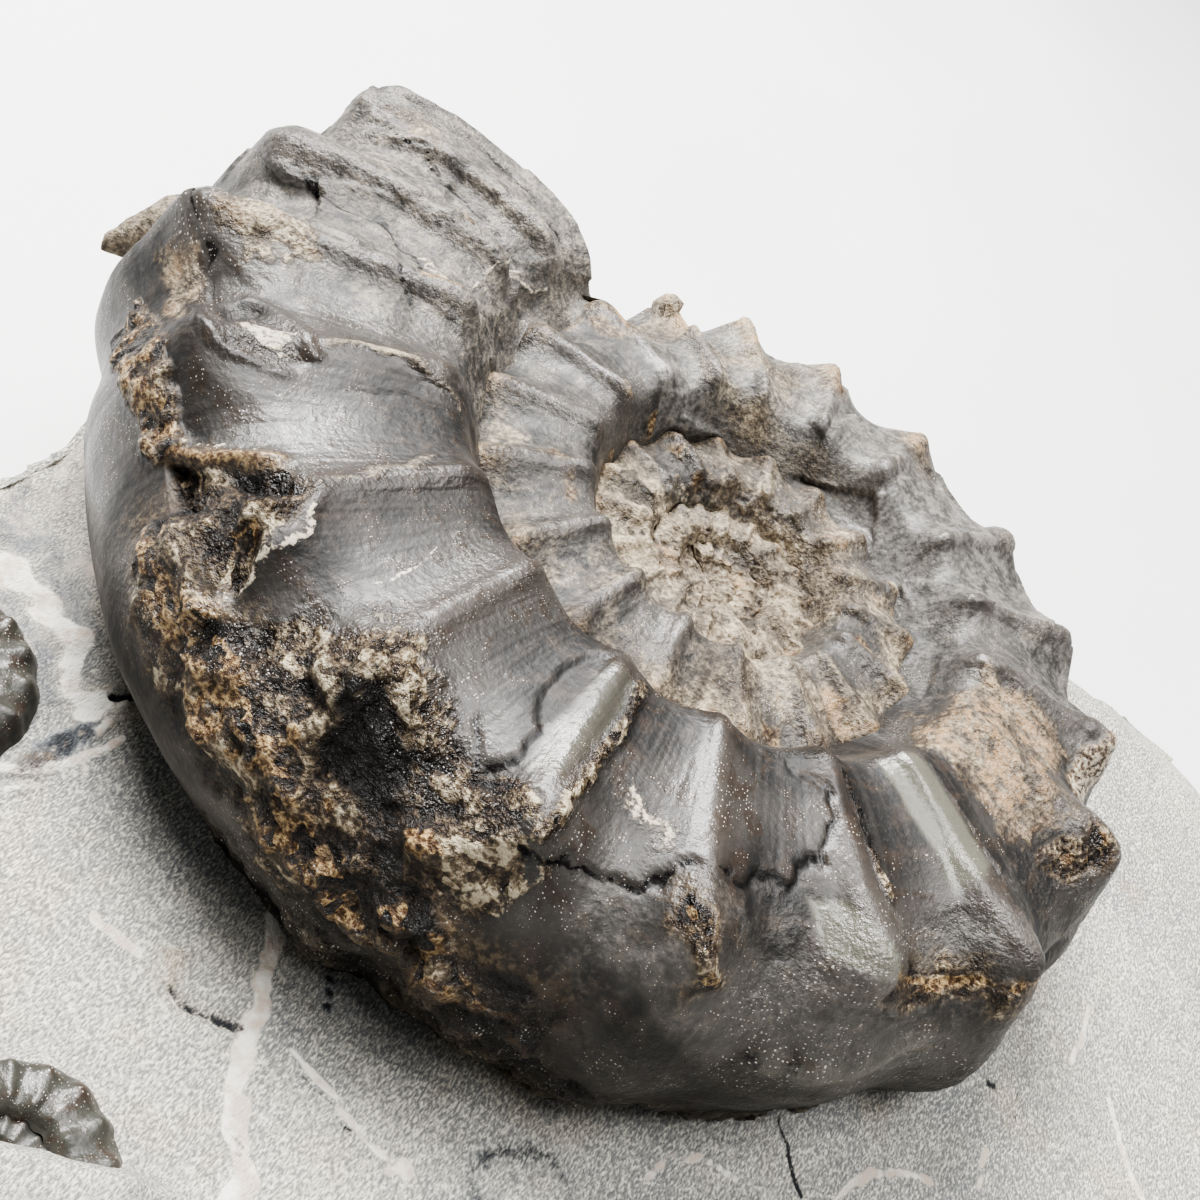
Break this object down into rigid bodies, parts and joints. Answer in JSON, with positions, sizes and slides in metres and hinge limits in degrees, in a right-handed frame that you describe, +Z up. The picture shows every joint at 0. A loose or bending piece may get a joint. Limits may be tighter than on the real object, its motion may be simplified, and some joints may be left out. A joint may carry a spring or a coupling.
{
  "type": "ammonite fossil on its block of rock",
  "caption": "Ribbed, tuberculate ammonite fossil lying flat on a pale limestone block, with two small part-buried ammonites beside it.",
  "frame": {"origin": "middle of the block's flat base, which it rests on", "axes": "+Z up, along the large shell's coil axis; +X along the block's longer side; -Y towards the side that carries the small shells"},
  "size_m": [0.09, 0.086, 0.0416],
  "materials": {
    "shell_calcite": "glossy dark grey-brown calcite shell, tan and crystalline in the middle",
    "small_shells": "satin dark fossil shell",
    "limestone": "matt pale grey limestone with fine tool stipple"
  },
  "bodies": {
    "root": {"ammonite": "shell_calcite", "side_ammonite": "small_shells", "corner_ammonite": "small_shells", "matrix": "limestone"}
  },
  "joints": []
}
